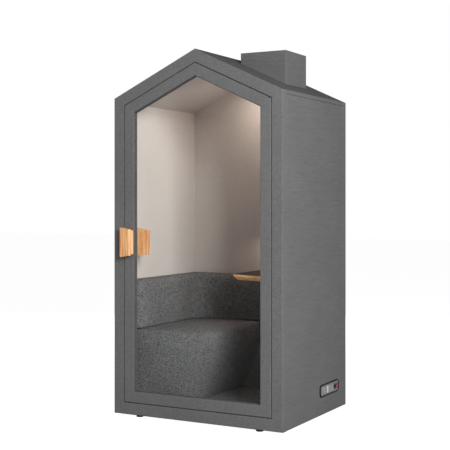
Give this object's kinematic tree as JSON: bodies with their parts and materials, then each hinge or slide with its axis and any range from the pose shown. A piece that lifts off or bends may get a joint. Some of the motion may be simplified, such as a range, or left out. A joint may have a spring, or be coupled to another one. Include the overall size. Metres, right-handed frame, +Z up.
{
  "type": "acoustic office pod",
  "caption": "House-shaped grey felt acoustic pod for one person: glazed pivot door, roof vent chimney, corner bench with wrap-round backrest, wall table and power panel.",
  "frame": {"origin": "on the floor, under the middle of the outer box (the outer door pull included)", "axes": "+X to the pod's right seen from the front, +Y from the door to the back wall, +Z up"},
  "size_m": [1.2088, 1.031, 2.3238],
  "materials": {
    "shell_felt": "fine grey felt over board",
    "door_felt": "fine grey felt over a door frame",
    "stop_felt": "dark felt over board",
    "lining_felt": "warm beige acoustic felt",
    "core_foam": "pressed acoustic fibre",
    "carpet": "dark loop carpet",
    "sofa_cloth": "grey woven upholstery",
    "board": "raw board",
    "oak": "oiled oak",
    "laminate": "dark brown laminate",
    "glass": "clear",
    "rubber": "dark grey",
    "steel": "brushed",
    "bracket_paint": "black powder coat",
    "black_plastic": "black, satin",
    "bezel_plastic": "black, glossy",
    "white_plastic": "white, satin",
    "diffuser": "opal",
    "socket_plastic": "pale grey",
    "face_metal": "fine brushed",
    "sheet_metal": "galvanised",
    "rocker_red": "red"
  },
  "bodies": {
    "cabin": {"front_sill": "shell_felt", "front_post_left": "shell_felt", "front_post_right": "shell_felt", "front_rafter_left": "shell_felt", "front_rafter_right": "shell_felt", "left_skin": "shell_felt", "right_skin": "shell_felt", "back_panel": "shell_felt", "roof_deck_left": "shell_felt", "roof_deck_right": "shell_felt", "chimney_shell": "shell_felt", "chimney_cap": "shell_felt", "door_stop": "stop_felt", "left_lining": "lining_felt", "right_lining": "lining_felt", "back_lining": "lining_felt", "ceiling_left": "lining_felt", "ceiling_right": "lining_felt", "left_core": "core_foam", "right_core": "core_foam", "carpet": "carpet", "seat_plinth": "sofa_cloth", "seat_cushion": "sofa_cloth", "backrest": "sofa_cloth", "base_deck": "board", "table_top": "oak", "table_laminate": "laminate", "door_seal": "rubber", "bottom_pivot": "steel", "top_pivot": "steel", "catch_magnet": "steel", "table_bracket_front": "bracket_paint", "table_bracket_back": "bracket_paint", "outlet_grille": "black_plastic", "fan_frame": "black_plastic", "inlet_module": "black_plastic", "panel_bezel": "bezel_plastic", "ceiling_grille": "white_plastic", "lamp_housing": "white_plastic", "lamp_diffuser": "diffuser", "socket_block": "socket_plastic", "panel_face": "face_metal", "duct_sleeve": "sheet_metal", "panel_back_box": "sheet_metal"},
    "door": {"door_rail_bottom": "door_felt", "door_stile_left": "door_felt", "door_stile_right": "door_felt", "door_rafter_left": "door_felt", "door_rafter_right": "door_felt", "door_glass": "glass", "glazing_gasket": "rubber", "catch_plate": "steel", "outer_handle": "oak", "inner_handle": "oak"},
    "rotor": {"fan_rotor": "black_plastic"},
    "rocker_switch": {"rocker": "rocker_red"},
    "foot_front_left_screw": {"foot_front_left": "black_plastic"},
    "foot_back_left_screw": {"foot_back_left": "black_plastic"},
    "foot_front_right_screw": {"foot_front_right": "black_plastic"},
    "foot_back_right_screw": {"foot_back_right": "black_plastic"}
  },
  "joints": [
    {"name": "door_swing", "type": "hinge", "parent": "cabin", "child": "door", "pos_m": [0.514, -0.4565, 1.014], "axis": [0, 0, 1], "range_deg": [0, 100]},
    {"name": "fan_spin", "type": "hinge", "parent": "cabin", "child": "rotor", "pos_m": [0.279, 0.071, 2.18369], "axis": [0.4226, 0, 0.9063], "continuous": true},
    {"name": "rocker_tip", "type": "hinge", "parent": "cabin", "child": "rocker_switch", "pos_m": [0.602, 0.3485, 0.167], "axis": [0, 0, 1], "range_deg": [0, 16]},
    {"name": "foot_front_left_level", "type": "slide", "parent": "cabin", "child": "foot_front_left_screw", "axis": [0, 0, -1], "range_m": [0, 0.015]},
    {"name": "foot_back_left_level", "type": "slide", "parent": "cabin", "child": "foot_back_left_screw", "axis": [0, 0, -1], "range_m": [0, 0.015]},
    {"name": "foot_front_right_level", "type": "slide", "parent": "cabin", "child": "foot_front_right_screw", "axis": [0, 0, -1], "range_m": [0, 0.015]},
    {"name": "foot_back_right_level", "type": "slide", "parent": "cabin", "child": "foot_back_right_screw", "axis": [0, 0, -1], "range_m": [0, 0.015]}
  ]
}
